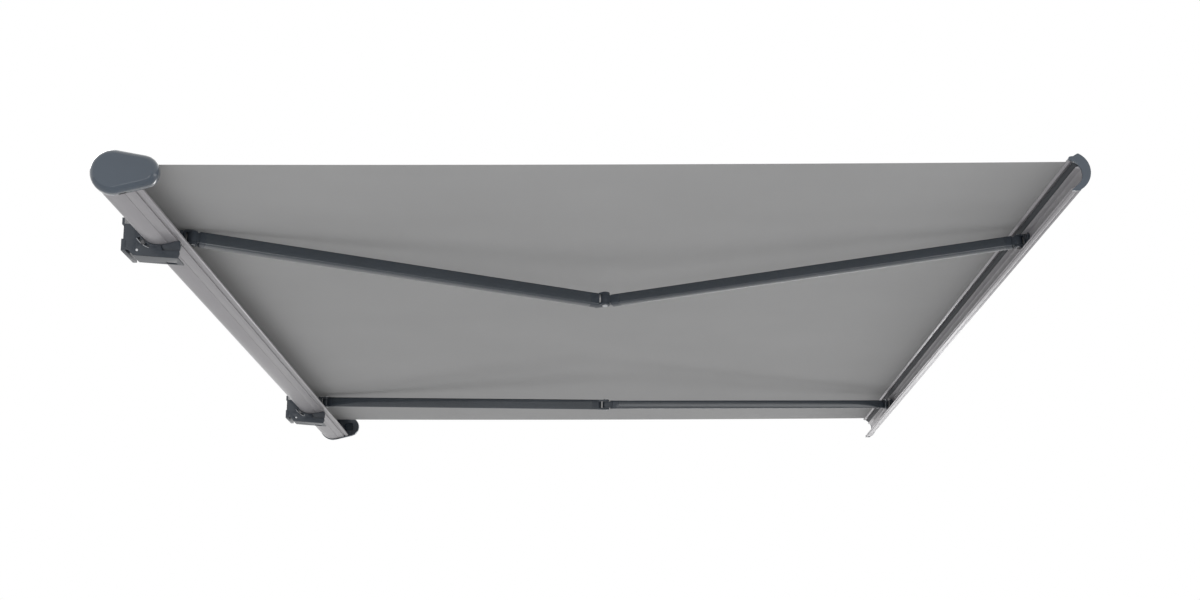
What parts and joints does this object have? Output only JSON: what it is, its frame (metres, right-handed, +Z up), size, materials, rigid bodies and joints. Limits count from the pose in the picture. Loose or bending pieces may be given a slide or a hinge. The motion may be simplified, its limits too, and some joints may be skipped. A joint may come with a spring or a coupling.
{
  "type": "folding arm awning",
  "caption": "Full-cassette folding-arm awning for a wall: cassette on tilting brackets, grey cloth on a roller, and jointed arms that push out the front bar.",
  "frame": {"origin": "on the wall plane, at mid width, level with the centre of the cassette's round back; the brackets hold the awning to the wall there", "axes": "+X along the width, +Y into the wall, so the awning reaches out to -Y, +Z up"},
  "size_m": [5, 2.9999, 0.1871],
  "materials": {
    "anthracite_cast": "powder-coated cast aluminium, fine satin texture",
    "anthracite_tube": "powder-coated extruded aluminium, satin",
    "anthracite_cap": "painted end caps, satin, rounded shoulders",
    "silver_profile": "light grey metallic powder coat, silky",
    "plated_steel": "zinc-plated steel",
    "spring_steel": "dark oiled steel, springs, bolts and nuts",
    "black_plastic": "moulded black plastic",
    "black_rubber": "extruded soft strip, matt, dark grey",
    "grey_cloth": "plain woven acrylic awning cloth"
  },
  "bodies": {
    "wall_brackets": {"wall_bracket_left": "anthracite_cast", "wall_bracket_right": "anthracite_cast"},
    "cassette": {"cradle_left": "anthracite_cast", "cradle_right": "anthracite_cast", "tilt_bolt_left": "plated_steel", "tilt_bolt_right": "plated_steel", "tilt_nut_left": "plated_steel", "tilt_nut_right": "plated_steel", "clamp_jaw_left": "plated_steel", "clamp_jaw_right": "plated_steel", "clamp_screw_left": "plated_steel", "clamp_screw_right": "plated_steel", "cassette_back_shell": "silver_profile", "cassette_hood": "silver_profile", "arm_rail": "silver_profile", "end_plate_left": "anthracite_cast", "end_plate_right": "anthracite_cast", "cassette_end_cap_left": "anthracite_cap", "cassette_end_cap_right": "anthracite_cap", "shoulder_bracket_left": "anthracite_cast", "shoulder_bracket_right": "anthracite_cast", "motor_body": "plated_steel", "motor_head": "black_plastic", "idler_pin": "plated_steel", "awning_cloth": "grey_cloth"},
    "roller": {"roller_tube": "plated_steel", "cloth_roll": "grey_cloth", "motor_drive_wheel": "black_plastic", "motor_crown": "black_plastic", "idler_plug": "black_plastic"},
    "front_bar": {"front_profile": "silver_profile", "bar_seal": "black_rubber", "front_end_cap_left": "anthracite_cap", "front_end_cap_right": "anthracite_cap", "front_bracket_left": "anthracite_cast", "front_bracket_right": "anthracite_cast"},
    "left_shoulder_knuckle": {"shoulder_knuckle_left": "anthracite_cast", "shoulder_pin_left": "plated_steel"},
    "left_rear_arm": {"rear_arm_tube_left": "anthracite_tube", "shoulder_end_left": "anthracite_cast", "rear_elbow_fork_left": "anthracite_cast", "elbow_pin_left": "plated_steel", "arm_spring_left": "spring_steel"},
    "left_front_arm": {"front_arm_tube_left": "anthracite_tube", "front_elbow_eye_left": "anthracite_cast", "front_end_left": "anthracite_cast"},
    "left_front_knuckle": {"front_knuckle_left": "anthracite_cast", "front_pin_left": "plated_steel"},
    "right_shoulder_knuckle": {"shoulder_knuckle_right": "anthracite_cast", "shoulder_pin_right": "plated_steel"},
    "right_rear_arm": {"rear_arm_tube_right": "anthracite_tube", "shoulder_end_right": "anthracite_cast", "rear_elbow_fork_right": "anthracite_cast", "elbow_pin_right": "plated_steel", "arm_spring_right": "spring_steel"},
    "right_front_arm": {"front_arm_tube_right": "anthracite_tube", "front_elbow_eye_right": "anthracite_cast", "front_end_right": "anthracite_cast"},
    "right_front_knuckle": {"front_knuckle_right": "anthracite_cast", "front_pin_right": "plated_steel"}
  },
  "joints": [
    {"name": "cassette_pitch", "type": "hinge", "parent": "wall_brackets", "child": "cassette", "pos_m": [0, -0.117, 0], "axis": [1, 0, 0], "range_deg": [-15, 15]},
    {"name": "left_shoulder_tilt", "type": "hinge", "parent": "cassette", "child": "left_shoulder_knuckle", "pos_m": [-1.658, -0.19, 0.0025], "axis": [0, 1, 0], "range_deg": [-10.22, 0]},
    {"name": "left_arm_fold", "type": "hinge", "parent": "left_shoulder_knuckle", "child": "left_rear_arm", "pos_m": [-1.658, -0.19, 0.0025], "axis": [0.1776, 0, 0.9841], "range_deg": [0, 68.61], "deforming": ["awning_cloth"]},
    {"name": "left_elbow", "type": "hinge", "parent": "left_rear_arm", "child": "left_front_arm", "pos_m": [-1.151, -1.567, -0.089], "axis": [0.1776, 0, 0.9841], "range_deg": [-137.22, 0]},
    {"name": "left_front_swivel", "type": "hinge", "parent": "left_front_arm", "child": "left_front_knuckle", "pos_m": [-1.658, -2.944, 0.0025], "axis": [0.1776, 0, 0.9841], "range_deg": [0, 68.61]},
    {"name": "left_front_tilt", "type": "hinge", "parent": "left_front_knuckle", "child": "front_bar", "pos_m": [-1.658, -2.944, 0.0025], "axis": [0, 1, 0], "range_deg": [0, 10.22]},
    {"name": "right_shoulder_tilt", "type": "hinge", "parent": "cassette", "child": "right_shoulder_knuckle", "pos_m": [1.658, -0.19, 0.0025], "axis": [0, 1, 0], "range_deg": [0, 10.22]},
    {"name": "right_arm_fold", "type": "hinge", "parent": "right_shoulder_knuckle", "child": "right_rear_arm", "pos_m": [1.658, -0.19, 0.0025], "axis": [-0.1776, 0, 0.9841], "range_deg": [-68.61, 0]},
    {"name": "right_elbow", "type": "hinge", "parent": "right_rear_arm", "child": "right_front_arm", "pos_m": [1.151, -1.567, -0.089], "axis": [-0.1776, 0, 0.9841], "range_deg": [0, 137.22]},
    {"name": "right_front_swivel", "type": "hinge", "parent": "right_front_arm", "child": "right_front_knuckle", "pos_m": [1.658, -2.944, 0.0025], "axis": [-0.1776, 0, 0.9841], "range_deg": [-68.61, 0]},
    {"name": "roller_turn", "type": "hinge", "parent": "cassette", "child": "roller", "pos_m": [0, -0.107, -0.008], "axis": [1, 0, 0], "range_deg": [-3609.64, 0]}
  ],
  "couplings": [
    {"joint": "left_shoulder_tilt", "follows": "left_arm_fold", "ratio": -0.14898},
    {"joint": "left_elbow", "follows": "left_arm_fold", "ratio": -2},
    {"joint": "left_front_swivel", "follows": "left_arm_fold", "ratio": 1},
    {"joint": "left_front_tilt", "follows": "left_arm_fold", "ratio": 0.14898},
    {"joint": "right_shoulder_tilt", "follows": "left_arm_fold", "ratio": 0.14898},
    {"joint": "right_arm_fold", "follows": "left_arm_fold", "ratio": -1},
    {"joint": "right_elbow", "follows": "left_arm_fold", "ratio": 2},
    {"joint": "right_front_swivel", "follows": "left_arm_fold", "ratio": -1},
    {"joint": "roller_turn", "follows": "left_arm_fold", "ratio": -52.611}
  ]
}
